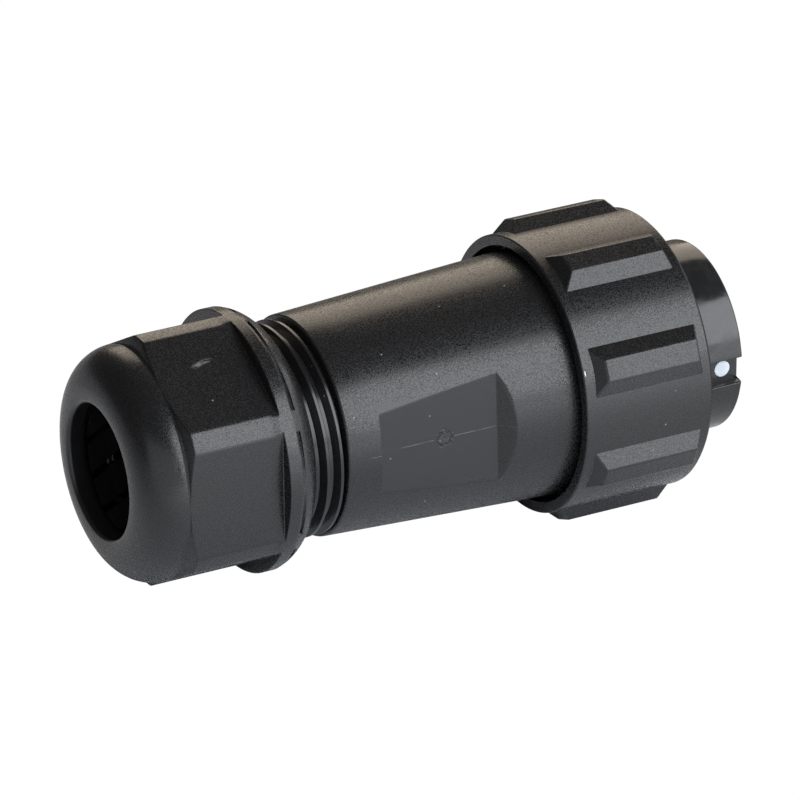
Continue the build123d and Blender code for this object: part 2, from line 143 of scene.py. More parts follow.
class HousingSizes(bpy.types.PropertyGroup):
    """Sizes of the housing, its wrench flats and its thread."""

    shoulder: length("Shoulder", "Place of the shoulder behind the barrel", -43.35)
    barrel_rear_radius: length("Barrel rear", "Radius of the barrel at the shoulder", 14.15)
    barrel_end: length("Barrel end", "Place of the barrel's front end", -8.55)
    journal_radius: length("Journal", "Radius of the journal under the ring", 14.5)
    spring_groove_depth: length("Groove depth", "Depth of the spring ring's groove", 0.8)
    spigot_bore: length("Spigot bore", "Radius of the bore that holds the sleeve", 12.38)
    chamber_radius: length("Chamber", "Radius of the wiring chamber and of the tail's bore", 11.2)
    seat_radius: length("Seat hole", "Radius of the hole in the seal's seat", 8.6)
    seat_thickness: length("Seat", "Thickness of that seat", 1.6)
    thread_root: length("Thread root", "Radius at the root of the thread", 12.75)
    thread_crest: length("Thread crest", "Radius at the crest of the thread", 13.8)
    thread_pitch: length("Thread pitch", "Advance of the thread in one turn", 1.9)
    crest_place: length("Crest place", "Place of the last full crest, at the turn below", -44.15)
    crest_turn: degrees("Crest turn", "Angle at which the last full crest has that place", 20.0)
    flat_radius: length("Flat", "Distance of the wrench flats from the axis", 13.4)
    flat_rear: length("Flat rear", "Rear edge of the wrench flats", -38.65)
    flat_length: length("Flat length", "Length of the wrench flats", 16.4)
    flat_turn: degrees("Flat turn", "Angle of the first wrench flat", 3.5)
    front_slope: degrees("Front slope", "Slope of the flat's front wall", 44.0)
    rear_slope: degrees("Rear slope", "Slope of the flat's rear wall", 11.0)
    gate_place: length("Gate mark", "Place of the moulding gate's mark", -29.65)
    gate_aside: length("Gate aside", "Distance of that mark from the flat's middle line", 0.12)
    gate_radius: length("Gate radius", "Radius of the gate mark's ring", 1.05)


class RingSizes(bpy.types.PropertyGroup):
    """Sizes of the coupling ring and its grip ribs."""

    radius: length("Ring", "Outer radius of the ring", 18.0)
    mouth_radius: length("Mouth", "Radius of the rear mouth", 16.55)
    mouth_depth: length("Mouth depth", "Depth of the rear mouth", 3.7)
    journal_bore: length("Journal bore", "Radius of the bore that runs on the journal", 14.58)
    flange: length("Flange", "Thickness of the inner flange", 2.2)
    cavity_radius: length("Cavity", "Radius of the cavity and of the thread's root", 16.0)
    crest_radius: length("Thread crest", "Radius at the crest of the inner thread", 15.25)
    thread_length: length("Thread length", "Length of the inner thread", 8.0)
    lead_in: length("Lead-in", "Bare length in front of the inner thread", 0.9)
    lead_out: length("Lead-out", "Slope behind the inner thread", 0.6)
    flare: length("Flare", "Widening of the front opening", 0.5)
    chamfer: length("Chamfer", "Chamfer of the front edge", 0.42)
    rib_count: IntProperty(name="Ribs", description="Number of grip ribs", default=8, min=3, max=24)
    rib_height: length("Rib height", "Height of a rib over the ring", 1.45)
    rib_top: length("Rib top", "Width of a rib's flat top", 2.8)
    rib_base: length("Rib base", "Width of a rib at the ring", 6.3)
    rib_gap: length("Rib gap", "Distance of a rib from each end of the ring", 1.6)
    rib_rear_run: length("Rear run", "Run of a rib's rear slope", 1.1)
    rib_front_run: length("Front run", "Run of a rib's front slope", 0.8)
    rib_root: length("Rib root", "Depth of a rib's foot in the ring", 0.7)
    rib_turn: degrees("Rib turn", "Angle of the first rib", 22.3)


class SleeveSizes(bpy.types.PropertyGroup):
    """Sizes of the plug sleeve."""

    radius: length("Sleeve", "Outer radius of the sleeve", 12.3)
    bore_radius: length("Bore", "Radius of the sleeve's bore", 9.9)
    lip_radius: length("Lip", "Radius of the lip at the mating face", 9.3)
    lip_length: length("Lip length", "Length of that lip", 1.6)
    land_radius: length("Gasket land", "Radius under the gasket", 12.1)
    rim: length("Rim", "Round of the front edge", 0.3)
    rear_round: length("Rear round", "Round of the rear edge", 0.45)
    flange_radius: length("Flange", "Radius of the sleeve's flange", 14.5)
    flange_thickness: length("Flange thickness", "Thickness of that flange", 1.8)
    seal_groove_width: length("Groove width", "Width of the O-ring's groove", 1.8)
    seal_groove_radius: length("Groove root", "Radius at the root of that groove", 10.93)
    keyway_width: length("Keyway width", "Width of the keyway", 3.5)
    keyway_depth: length("Keyway depth", "Depth of the keyway", 1.5)
    keyway_length: length("Keyway length", "Length of the keyway", 6.4)


class FinishColours(bpy.types.PropertyGroup):
    """Colours of the finishes."""

    moulded_black: shade("Moulded black", "Grained plastic of the shells", 0.0060, 0.0060, 0.0064)
    smooth_black: shade("Smooth black", "Polished plastic of the plug sleeve", 0.0090, 0.0092, 0.0098)
    cage_plastic: shade("Cage plastic", "Plastic of the clamp cage", 0.008, 0.008, 0.009)
    insert_plastic: shade("Insert plastic", "Plastic of the contact insert", 0.030, 0.031, 0.034)
    seal_rubber: shade("Seal rubber", "Rubber of the seals", 0.016, 0.016, 0.017)
    mark_white: shade("Mark white", "Paint of the index mark", 0.44, 0.48, 0.52)
    contact_brass: shade("Contact brass", "Plated brass of the contacts", 0.80, 0.62, 0.34)
    spring_steel: shade("Spring steel", "Steel of the retaining ring", 0.46, 0.46, 0.47)
    screw_steel: shade("Screw steel", "Steel of the terminal screws", 0.56, 0.56, 0.57)


class StageSizes(bpy.types.PropertyGroup):
    """Camera, floor and lights."""

    azimuth: degrees("Azimuth", "Direction of the camera round the part", -28.034)
    elevation: degrees("Elevation", "Height of the camera over the horizon", 25.948)
    distance: length("Distance", "Distance of the camera from the ring's rear plane", 821.09)
    aside: length("Aside", "Shift of the camera to its right", -14.83)
    above: length("Above", "Shift of the camera upwards", -3.27)
    lens: FloatProperty(name="Lens", description="Focal length in millimetres", default=292.5, unit="CAMERA")
    # Strength of the painted glow: light that the floor emits ahead of the part, though it is no lamp
    floor_painted_glow: number("Floor glow", "Light that the pale floor gives back in front", 1.0)
    key: number("Key light", "Radiance of the cool softbox", 5.0)
    fill: number("Fill light", "Radiance of the softbox's dim lower part", 2.3)
    left: number("Left light", "Radiance of the dim wall to the left", 0.9)
    side: number("Side light", "Radiance of the pale wall to the right", 1.8)
    back: number("Back light", "Radiance of the warm strip behind", 2.2)
    above_light: number("Ceiling light", "Irradiance from the soft ceiling", 1.7)
    dim: number("Dim studio", "Radiance of the dark studio overhead", 0.06)


def feed(node, sockets):
    """Links values to a node's sockets, by name or number, or sets the sockets to constants."""
    for name, value in sockets.items():
        if isinstance(value, Value):
            node.id_data.links.new(value.socket, node.inputs[name])
        else:
            node.inputs[name].default_value = value


def add_node(tree, kind, sockets=None, settings=None, output=0):
    """Adds any node: first its settings, then the values or links of its sockets. Returns an output."""
    node = tree.nodes.new(kind)
    for name, value in (settings or {}).items():
        setattr(node, name, value)
    feed(node, sockets or {})
    return Value(node.outputs[output])


class Value:
    """A socket of a node tree, so that plain arithmetic on it adds Math nodes."""

    def __init__(self, socket):
        self.socket = socket
        self.tree = socket.id_data

    def math(self, operation, *others, flip=False):
        """A Math node on this value and the others."""
        operands = [self, *others]
        if flip:
            operands.reverse()
        return add_node(self.tree, "ShaderNodeMath", dict(enumerate(operands)), {"operation": operation})

    def __add__(self, other):
        return self.math("ADD", other)

    def __sub__(self, other):
        return self.math("SUBTRACT", other)

    def __mul__(self, other):
        return self.math("MULTIPLY", other)

    def __truediv__(self, other):
        return self.math("DIVIDE", other)

    def __rsub__(self, other):
        return self.math("SUBTRACT", other, flip=True)

    def __rtruediv__(self, other):
        return self.math("DIVIDE", other, flip=True)

    def __neg__(self):
        return self.math("MULTIPLY", -1.0)

    def __abs__(self):
        return self.math("ABSOLUTE")

    __radd__ = __add__
    __rmul__ = __mul__

    def between(self, low, high, to_low=0.0, to_high=1.0):
        """This value mapped from one range to another and held at the ends."""
        sockets = {"Value": self, "From Min": low, "From Max": high, "To Min": to_low, "To Max": to_high}
        return add_node(self.tree, "ShaderNodeMapRange", sockets)

    def under(self, low, high):
        """1 where this value is under a range, 0 over it and even in between."""
        return self.between(low, high, 1.0, 0.0)

    def noise(self, size, detail=2.0):
        """Noise over this place, with features of about that size."""
        sockets = {"Vector": self, "Scale": 1.0 / size, "Detail": detail}
        return add_node(self.tree, "ShaderNodeTexNoise", sockets)

    def stretched(self, *scale):
        """This place with another scale in each direction."""
        return add_node(self.tree, "ShaderNodeMapping", {"Vector": self, "Scale": scale})

    def split(self):
        """The three parts of this place."""
        node = self.tree.nodes.new("ShaderNodeSeparateXYZ")
        feed(node, {0: self})
        return [Value(output) for output in node.outputs]

    def mix(self, first, second):
        """Colour that goes from the first to the second as this value goes from 0 to 1."""
        ends = [colour if isinstance(colour, Value) else (*colour, 1.0) for colour in (first, second)]
        sockets = {0: self, 6: ends[0], 7: ends[1]}
        return add_node(self.tree, "ShaderNodeMix", sockets, {"data_type": "RGBA"}, 2)

    def bump(self, depth, strength=1.0):
        """Normal of a surface with this height."""
        sockets = {"Strength": strength, "Distance": depth, "Height": self}
        return add_node(self.tree, "ShaderNodeBump", sockets)


def reach(along, across):
    """Distance from two values at right angles."""
    return (along * along + across * across).math("SQRT")


def brighter(colour, factor):
    """Colour with each channel times a factor."""
    return tuple(channel * factor for channel in colour)


def softened(corners, steps=4):
    """Profile of (place, radius) points, where a corner with a third number is rounded by that radius."""
    points = []
    for index, corner in enumerate(corners):
        if len(corner) < 3:
            points.append(tuple(corner))
            continue
        here = complex(*corner[:2])
        back = complex(*corners[index - 1][:2]) - here
        ahead = complex(*corners[(index + 1) % len(corners)][:2]) - here
        back /= abs(back)
        ahead /= abs(ahead)
        half = abs(cmath.phase(ahead / back)) / 2
        centre = (back + ahead) / abs(back + ahead) * corner[2] / sin(half)
        first = back * corner[2] / tan(half) - centre
        turn = cmath.phase((ahead * corner[2] / tan(half) - centre) / first)
        arc_steps = corner[3] if len(corner) > 3 else steps
        for step in range(arc_steps + 1):
            point = here + centre + first * cmath.exp(1j * turn * step / arc_steps)
            points.append((point.real, point.imag))
    return points


def arc_through(start, middle, end, steps):
    """Points of the arc through three points."""
    a, b, c = complex(*start), complex(*middle), complex(*end)
    ratio = (c - a) / (b - a)
    centre = a + (b - a) * (ratio - abs(ratio) ** 2) / (2j * ratio.imag)
    turn = cmath.phase((c - centre) / (a - centre))
    points = [centre + (a - centre) * cmath.exp(1j * turn * step / steps) for step in range(steps + 1)]
    return [(point.real, point.imag) for point in points]


def spread(points, step, hold=0.1 * MM):
    """Adds points along the straight stretches of a closed profile, and one close to each of their ends."""
    filled = []
    for index, (x, r) in enumerate(points):
        nx, nr = points[(index + 1) % len(points)]
        filled.append((x, r))
        gap = hypot(nx - x, nr - r)
        if gap < 3 * hold:
            continue
        parts = max(1, ceil(gap / step))
        inner = [part / parts for part in range(1, parts)]
        for share in [hold / gap] + inner + [1 - hold / gap]:
            filled.append((x + (nx - x) * share, r + (nr - r) * share))
    return filled


def soft_min(a, b, width):
    """The lower of two values, with a round of that width where they meet."""
    overlap = np.maximum(width - np.abs(a - b), 0)
    return np.minimum(a, b) - overlap**2 / (4 * width)


def full_circle(count):
    """Angles of so many equal columns."""
    return np.arange(count) * 2 * pi / count


def placed(name, data):
    """New object of the scene, at the origin."""
    made = bpy.data.objects.new(name, data)
    bpy.context.scene.collection.objects.link(made)
    return made


def finished_object(name, mesh):
    """Object from a mesh whose doubles are merged and whose faces point outwards and shade smoothly."""
    work = bmesh.new()
    work.from_mesh(mesh)
    bmesh.ops.remove_doubles(work, verts=work.verts, dist=1e-7)
    bmesh.ops.dissolve_degenerate(work, edges=work.edges, dist=1e-7)
    bmesh.ops.recalc_face_normals(work, faces=work.faces)
    if work.calc_volume(signed=True) < 0:
        bmesh.ops.reverse_faces(work, faces=work.faces)
    work.to_mesh(mesh)
    work.free()
    mesh.shade_smooth()
    return placed(name, mesh)


def grid_object(name, points):
    """Mesh object of quads over a grid of points that closes on itself both ways."""
    index = np.arange(points.shape[0] * points.shape[1]).reshape(points.shape[:2])
    below = np.roll(index, -1, 0)
    quads = np.stack([index, below, np.roll(below, -1, 1), np.roll(index, -1, 1)], axis=-1)
    mesh = bpy.data.meshes.new(name)
    mesh.from_pydata(points.reshape(-1, 3).tolist(), [], quads.reshape(-1, 4).tolist())
    return finished_object(name, mesh)


def skin(name, x, radius, angle):
    """Closed shell over a grid of places, radii and angles: rows run along the profile, columns go round."""
    x, angle = np.broadcast_to(x, radius.shape), np.broadcast_to(angle, radius.shape)
    return grid_object(name, np.stack([x, -radius * np.cos(angle), radius * np.sin(angle)], axis=-1))


def lathe(name, corners, columns, step):
    """Shell turned about the axis from a closed profile with rounded corners."""
    profile = np.array(spread(softened(corners), step))
    radius = np.repeat(profile[:, 1:], columns, axis=1)
    return skin(name, profile[:, :1], radius, full_circle(columns)[None, :])


def node_tree(name, sockets):
    """Geometry tree with the named inputs, a geometry and a material. Returns it, its values and its ids."""
    tree = bpy.data.node_groups.new(name, "GeometryNodeTree")
    tree.interface.new_socket("Geometry", in_out="OUTPUT", socket_type="NodeSocketGeometry")
    for title, kind in {"Geometry": "Geometry", **sockets, "Material": "Material"}.items():
        tree.interface.new_socket(title, in_out="INPUT", socket_type="NodeSocket" + kind)
    source = tree.nodes.new("NodeGroupInput")
    inputs = {item.name: item.identifier for item in tree.interface.items_tree if item.in_out == "INPUT"}
    values = {title: Value(source.outputs[identifier]) for title, identifier in inputs.items()}
    return tree, values, inputs


def grown(name, tree, geometry, material, inputs, settings, seed):
    """Ends a tree, runs it on a seed mesh and returns its result as a plain mesh."""
    real = add_node(tree, "GeometryNodeRealizeInstances", {"Geometry": geometry})
    painted = add_node(tree, "GeometryNodeSetMaterial", {"Geometry": real, "Material": material})
    feed(tree.nodes.new("NodeGroupOutput"), {0: painted})
    carrier = placed(name + "_seed", seed)
    modifier = carrier.modifiers.new("Grow", "NODES")
    modifier.node_group = tree
    for title, value in settings.items():
        modifier[inputs[title]] = value
    graph = bpy.context.evaluated_depsgraph_get()
    graph.update()
    mesh = bpy.data.meshes.new_from_object(carrier.evaluated_get(graph), depsgraph=graph)
    carrier.modifiers.remove(modifier)
    bpy.data.objects.remove(carrier)
    mesh.name = name
    return mesh


def joined(name, shell, grown_mesh):
    """One mesh object made of a shell and what grows on it."""
    work = bmesh.new()
    work.from_mesh(shell.data)
    work.from_mesh(grown_mesh)
    mesh = bpy.data.meshes.new(name)
    work.to_mesh(mesh)
    work.free()
    bpy.data.objects.remove(shell)
    return placed(name, mesh)


def dress(piece, node, body, material):
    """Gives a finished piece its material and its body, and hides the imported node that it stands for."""
    piece.data.materials.clear()
    piece.data.materials.append(material)
    for polygon in piece.data.polygons:
        polygon.material_index = 0
    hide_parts(node)
    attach(piece, body)


def new_material(name):
    """Material with a surface shader, that shader's node and the place on the piece, in metres."""
    material = bpy.data.materials.new(name)
    material.use_nodes = True
    tree = material.node_tree
    tree.nodes.clear()
    shader = tree.nodes.new("ShaderNodeBsdfPrincipled")
    feed(tree.nodes.new("ShaderNodeOutputMaterial"), {"Surface": Value(shader.outputs[0])})
    return material, shader, add_node(tree, "ShaderNodeTexCoord", output=3)


def moulded_material(name, colour, marks):
    """Grained black plastic: fine spark-eroded grain, cloudy sheen, dust specks and a piece's own marks."""
    material, shader, place = new_material(name)
    grain = place.noise(0.2 * MM, 1.0)
    coarse = place.noise(0.5 * MM, 1.0)
    spark = place.noise(0.17 * MM, 0.0).between(0.32, 0.68, -0.5, 0.5)
    cloud = place.noise(9 * MM, 3.0)
    dust_apart, dust_low, dust_high = 3.4 * MM, 0.09 * MM, 0.13 * MM
    speck = add_node(place.tree, "ShaderNodeTexVoronoi", {"Vector": place, "Scale": 1 / dust_apart})
    dust = speck.under(dust_low / dust_apart, dust_high / dust_apart)
    height = grain * 0.8 + coarse * 0.2
    rough = cloud * 0.06 + spark * 0.30 + 0.28
    tone = grain.between(0.35, 0.75).mix(colour, brighter(colour, 1.6))
    tone = dust.mix(tone, (0.16, 0.16, 0.16))
    height, rough, tone = marks(place, height, rough, tone)
    feed(shader, {"Normal": height.bump(0.016 * MM), "Roughness": rough, "Base Color": tone})
    return material


def housing_marks(place, height, rough, tone):
    """Smooth threaded tail and flats, the broken parting line and the crumbled ring of the gate mark."""
    sizes = bpy.context.scene.connector_housing
    x, y, z = place.split()
    turn, half = sizes.flat_turn, sizes.flat_length / 2
    tail = x.under(sizes.shoulder - 0.06 * MM, sizes.shoulder - 0.02 * MM)
    across = z * cos(turn) + y * sin(turn)
    out = abs(z * sin(turn) - y * cos(turn))
    from_middle = abs(x - (sizes.flat_rear + half))
    flat = out.under(sizes.flat_radius + 0.02 * MM, sizes.flat_radius + 0.06 * MM)
    flat = flat * from_middle.under(half, half + 0.1 * MM) * abs(across).under(6.0 * MM, 6.4 * MM)
    height = height * (1.0 - tail) * (1.0 - flat * 0.8)
    rough = rough * (1.0 - (tail + flat).math("MINIMUM", 1.0)) + tail * 0.2 + flat * 0.3
    facing = y.under(-1 * MM, 0.0)
    beside = across - sizes.gate_aside
    away = reach(x - sizes.gate_place, beside)
    ring = abs(away - sizes.gate_radius * 0.85).between(0.1 * MM, 0.45 * MM, 1.0, 0.15)
    ring = ring * facing * away.under(sizes.gate_radius + 0.15 * MM, sizes.gate_radius + 0.3 * MM)
    line = abs(beside).under(0.02 * MM, 0.05 * MM) * from_middle.under(9.0 * MM, 10.5 * MM) * facing
    line = line * away.between(1.3 * MM, 1.6 * MM) * place.noise(1.4 * MM, 3.0).between(0.40, 0.56, 0.1, 1.0)
    crumbs = place.noise(0.26 * MM) - 0.5
    height = height + ring * crumbs * 30.0 + line * 1.5
    light = (line * 0.8 + ring * crumbs.between(0.08, 0.16) * 0.8).math("MINIMUM", 1.0)
    return height, rough, light.mix(tone, (0.12, 0.12, 0.12))


def nut_marks(place, height, rough, tone):
    """A rubbed spot on the flat above the near corner, and a smoother nose and cable hole."""
    sizes = bpy.context.scene.connector_nut
    x, y, z = place.split()
    turn = sizes.turn + HALF_SIDE
    out = z * sin(turn) - y * cos(turn)
    side = y * sin(turn) + z * cos(turn)
    spot_place, spot_side, spot_lean = -58.9 * MM, 2.4 * MM, 0.35 * MM
    spot_length, spot_width = 1.7 * MM, 0.5 * MM
    along = (x - spot_place) / spot_length
    beside = (side - spot_side - along * spot_lean) / spot_width
    on_flat = out.between(sizes.flat_radius - 0.3 * MM, sizes.flat_radius - 0.1 * MM)
    streak = place.stretched(0.3, 1.0, 1.0).noise(0.3 * MM)
    spot = reach(along, beside).under(0.3, 1.0) * on_flat
    tone = (spot * streak.between(0.42, 0.6)).mix(tone, (0.11, 0.11, 0.11))
    bore = reach(y, z).under(sizes.hole_radius + 0.2 * MM, sizes.hole_radius + 0.5 * MM)
    nose = x.between(rear("gland_nut") + 1 * MM, rear("gland_nut") + 6 * MM, 0.6, 0.0)
    even = (bore + nose).math("MINIMUM", 1.0)
    rough = rough * (1.0 - even) + even * 0.3
    return height * (1.0 - even) * (1.0 - spot * 0.5), rough + spot * 0.12, tone


def ring_marks(place, height, rough, tone):
    """A short white scratch at the rear edge."""
    x, y, z = place.split()
    place_along, place_up = -11.6 * MM, 7.0 * MM
    half_width, half_height = 0.09 * MM, 0.36 * MM
    away = reach((z - place_up) / half_height, (x - place_along) / half_width)
    scratch = away.under(0.8, 1.0) * y.under(-2 * MM, 0.0)
    return height, rough, scratch.mix(tone, (0.55, 0.55, 0.55))


def smooth_material(name, colour, roughness, depth, worn=0.0, gloss=0.5):
    """Polished or dull even plastic, with faint clouds, hair scratches and worn blotches."""
    material, shader, place = new_material(name)
    cloud = place.noise(4 * MM, 3.0)
    hair = place.stretched(9.0, 1.0, 1.0).noise(1.2 * MM, 4.0)
    rough = cloud * 0.10 + hair * 0.08 + (roughness - 0.09)
    if worn:
        rough = rough + place.noise(2.6 * MM, 4.0).between(0.46, 0.62) * worn
    tone = cloud.between(0.3, 0.7).mix(colour, brighter(colour, 1.35))
    sockets = {"Normal": hair.bump(depth * MM), "Roughness": rough, "Base Color": tone}
    feed(shader, {**sockets, "Specular IOR Level": gloss})
    return material


def metal_material(name, colour, roughness):
    """Turned metal, with fine tool rings along the axis and a little tarnish."""
    material, shader, place = new_material(name)
    turning = place.stretched(1.0, 0.08, 0.08).noise(0.08 * MM)
    tarnish = place.noise(2.5 * MM, 4.0)
    rough = turning * 0.12 + tarnish * 0.16 + (roughness - 0.14)
    tone = tarnish.between(0.45, 0.8).mix(colour, brighter(colour, 0.62))
    sockets = {"Normal": turning.bump(0.01 * MM, 0.4), "Roughness": rough, "Base Color": tone}
    feed(shader, {**sockets, "Metallic": 1.0})
    return material


# Moulded finishes with the marks of their pieces, then smooth finishes with their sizes in millimetres,
# then metals with their roughness
MARKS = {"housing_black": housing_marks, "nut_black": nut_marks, "ring_black": ring_marks}
SMOOTH = {
    "smooth_black": {"roughness": 0.15, "depth": 0.002, "worn": 0.12},
    "cage_plastic": {"roughness": 0.18, "depth": 0.002, "gloss": 0.18},
    "insert_plastic": {"roughness": 0.42, "depth": 0.008},
    "seal_rubber": {"roughness": 0.62, "depth": 0.012},
    "mark_white": {"roughness": 0.45, "depth": 0.006},
}
METAL = {"contact_brass": 0.30, "spring_steel": 0.34, "screw_steel": 0.32}


def finish(name):
    """The finish of that name, made once."""
    title = "finish_" + name
    if title in bpy.data.materials:
        return bpy.data.materials[title]
    colours = bpy.context.scene.connector_colours
    if name in MARKS:
        return moulded_material(title, colours.moulded_black, MARKS[name])
    if name in SMOOTH:
        return smooth_material(title, getattr(colours, name), **SMOOTH[name])
    return metal_material(title, getattr(colours, name), METAL[name])


def lay_floor(scene):
    """Pale floor under the part, which lies on the ribs' rear ends and a corner of the nut. Seen by the
    camera it is plain white; elsewhere its colour holds painted shade behind, left and right of the part,
    and a painted glow ahead of it.
    """
    ring, nut = scene.connector_ring, scene.connector_nut
    rib_rear = rear("coupling_ring") + ring.rib_gap + ring.rib_rear_run
    rib_low = BOX["coupling_ring"][0].z
    corner = rear("gland_nut") + nut.nose_radius + nut.corner_rise
    tilt = atan2(-nut.corner_radius - rib_low, rib_rear - corner)
    half, floor_gap = 3.0, 0.05 * MM
    corners = [(-half, -half, 0), (half, -half, 0), (half, half, 0), (-half, half, 0)]
    mesh = bpy.data.meshes.new("floor")
    mesh.from_pydata(corners, [], [(0, 1, 2, 3)])
    mesh.transform(Matrix.Translation((rib_rear, 0, rib_low - floor_gap)) @ Matrix.Rotation(tilt, 4, "Y"))
    material, shader, place = new_material("pale_floor")
    along, across, _ = place.split()
    # Masks of where the floor has painted shade (left, right) and a painted glow (ahead)
    ahead = across.under(-0.15, -0.035)
    left = along.under(-0.16, -0.07)
    right = along.between(0.01, 0.035) * across.between(-0.04, -0.01)
    # Painted shade: the floor is darker behind the part, to its left and to its right
    tone = across.between(0.02, 0.10).mix((0.80, 0.82, 0.86), (0.32, 0.32, 0.33))
    tone = left.mix(tone, (0.36, 0.37, 0.40))
    tone = right.mix(tone, (0.10, 0.10, 0.10))
    # Painted light: the floor glows ahead of the part, and glows less where it is also to the left (painted
    # shade)
    painted_glow = ahead.mix((0.0, 0.0, 0.0), (0.93, 0.96, 1.0))
    painted_glow = (left * ahead).mix(painted_glow, (0.30, 0.31, 0.33))
    feed(shader, {"Base Color": tone, "Emission Color": painted_glow, "Roughness": 0.9})
    feed(shader, {"Emission Strength": scene.connector_stage.floor_painted_glow})
    seen = add_node(place.tree, "ShaderNodeLightPath")
    plain = add_node(place.tree, "ShaderNodeEmission", {"Strength": 1.02})
    both = add_node(place.tree, "ShaderNodeMixShader", {0: seen, 1: Value(shader.outputs[0]), 2: plain})
    feed(place.tree.nodes["Material Output"], {"Surface": both})
    mesh.materials.append(material)
    placed("floor", mesh)


# Soft lights: elevation and azimuth, half height and half width in degrees, brightness and colour
LIGHTS = {
    "softbox": (30, 32, 21, 26, "key", (0.93, 0.96, 1.0)),
    "softbox_low": (1, 32, 8, 26, "fill", (0.93, 0.96, 1.0)),
    "side": (14, 86, 13, 24, "side", (0.96, 0.97, 1.0)),
    "left_wall": (14, -38, 18, 34, "left", (0.95, 0.97, 1.0)),
    "warm_strip": (28, 150, 18, 24, "back", (1.0, 0.86, 0.70)),
}


def hang_light(name, elevation, azimuth, half_high, half_wide, radiance, colour):
    """Soft rectangular light at one metre, seen from the part in that direction and at that size."""
    up, around = radians(elevation), radians(azimuth)
    direction = Vector((sin(around) * cos(up), -cos(around) * cos(up), sin(up)))
    light = bpy.data.lights.new(name, "AREA")
    light.shape = "RECTANGLE"
    light.size = 2 * tan(radians(half_wide))
    light.size_y = 2 * tan(radians(half_high))
    light.energy = radiance * pi * light.size * light.size_y
    light.color = colour
    lamp = placed(name, light)
    lamp.location = (CAD_LOW + CAD_HIGH) / 2 + direction
    lamp.rotation_euler = direction.to_track_quat("Z", "Y").to_euler()


def hang_ceiling(irradiance):
    """Soft light from straight above, too even to show as a reflection."""
    light = bpy.data.lights.new("ceiling", "SUN")
    light.energy = irradiance
    light.angle = radians(70)
    lamp = placed("ceiling", light)
    lamp.location = (0, 0, 1)
    lamp.visible_glossy = False


def paint_world(scene, dim):
    """Dim studio for the part, plain white where the camera sees past the floor."""
    world = bpy.data.worlds.new("studio")
    scene.world = world
    world.use_nodes = True
    tree = world.node_tree
    tree.nodes.clear()
    seen = add_node(tree, "ShaderNodeLightPath")
    dark = add_node(tree, "ShaderNodeBackground", {"Color": (dim, dim, dim, 1.0)})
    white = add_node(tree, "ShaderNodeBackground", {"Color": (1.0, 1.0, 1.0, 1.0)})
    sky = add_node(tree, "ShaderNodeMixShader", {0: seen, 1: dark, 2: white})
    feed(tree.nodes.new("ShaderNodeOutputWorld"), {"Surface": sky})


def place_camera(scene, sizes):
    """Camera where the photograph was taken from."""
    data = bpy.data.cameras.new("camera")
    data.lens = sizes.lens
    data.sensor_width = 36.0
    data.clip_start = 0.01
    data.clip_end = 50.0
    camera = placed("camera", data)
    a, e = sizes.azimuth, sizes.elevation
    back = Vector((sin(a) * cos(e), -cos(a) * cos(e), sin(e)))
    right = Vector((cos(a), sin(a), 0))
    up = back.cross(right)
    target = Vector((rear("coupling_ring"), 0, 0))
    camera.location = target + back * sizes.distance + right * sizes.aside + up * sizes.above
    camera.rotation_mode = "QUATERNION"
    camera.rotation_quaternion = Matrix((right, up, back)).transposed().to_quaternion()
    scene.camera = camera


class CONNECTOR_OT_stage(bpy.types.Operator):
    """Lay the pale floor, set the soft lights and place the camera"""

    bl_idname = "connector.stage"
    bl_label = "Stage"

    def execute(self, context):
        scene = context.scene
        sizes = scene.connector_stage
        scene.view_settings.view_transform = "Standard"
        scene.cycles.denoising_prefilter = "NONE"
        lay_floor(scene)
        for name, (elevation, azimuth, half_high, half_wide, source, colour) in LIGHTS.items():
            hang_light(name, elevation, azimuth, half_high, half_wide, getattr(sizes, source), colour)
        hang_ceiling(sizes.above_light)
        paint_world(scene, sizes.dim)
        place_camera(scene, sizes)
        return {"FINISHED"}


def strip_half(sizes):
    """Half the angle that a turned corner of the nut takes."""
    return HALF_SIDE - acos(sizes.flat_radius / sizes.corner_radius)


def nut_columns(sizes):
    """Column angles of one sixth, closer together along the corner's edges."""
    half = strip_half(sizes)
    side = [half * share for share in (0, 0.28, 0.56, 0.74, 0.85, 0.93, 1.0)]
    side += [half + radians(step) for step in (0.2, 0.42, 0.7, 1.1, 1.7)]
    start = side[-1]
    side += [start + (HALF_SIDE - start) * part / 12 for part in range(1, 13)]
    return np.array([-value for value in side[-2:0:-1]] + side)


def nose_rows(sizes, nose):
    """Rows from the hole's rim over the dome to the shoulder."""
    hole, flat, dome = sizes.hole_radius, sizes.flat_radius, sizes.nose_radius
    rows = softened([(nose + 2 * MM, hole), (nose, hole, 0.55 * MM, 6), (nose, flat)])[1:-1]
    return rows + softened([(nose, hole), (nose, flat, dome, 26), (nose + dome + 1 * MM, flat)])[1:-1]


def over_flat(sizes, from_corner, corner, height=0.0):
    """Radius of each column at a height over its flat, held at the turned corner."""
    plane = (sizes.flat_radius + height) / np.cos(HALF_SIDE - from_corner)
    return soft_min(plane, corner + 0 * plane, 0.13 * MM)


def strip_rows(sizes, shoulder, from_corner):
    """Rows up the slope where the corners start, with a soft upper edge, to the flats' height."""
    flat = sizes.flat_radius
    height = over_flat(sizes, from_corner, sizes.corner_radius)
    top = shoulder + sizes.corner_rise * (height - flat) / (sizes.corner_radius - flat)
    slope = np.hypot(top - shoulder, height - flat)
    cut = np.minimum(0.16 * MM, 0.45 * slope) / np.maximum(slope, 1e-9)
    before = (top - (top - shoulder) * cut, height - (height - flat) * cut)
    after = (top + slope * cut, height)
    foot = (shoulder, flat)
    rows = [tuple(a + (b - a) * share for a, b in zip(foot, before)) for share in (0.34, 0.67)]
    for t in np.linspace(0, 1, 5):
        weights = ((1 - t) ** 2, 2 * t * (1 - t), t**2)
        rows.append(tuple(np.dot(weights, points) for points in zip(before, (top, height), after)))
    return rows


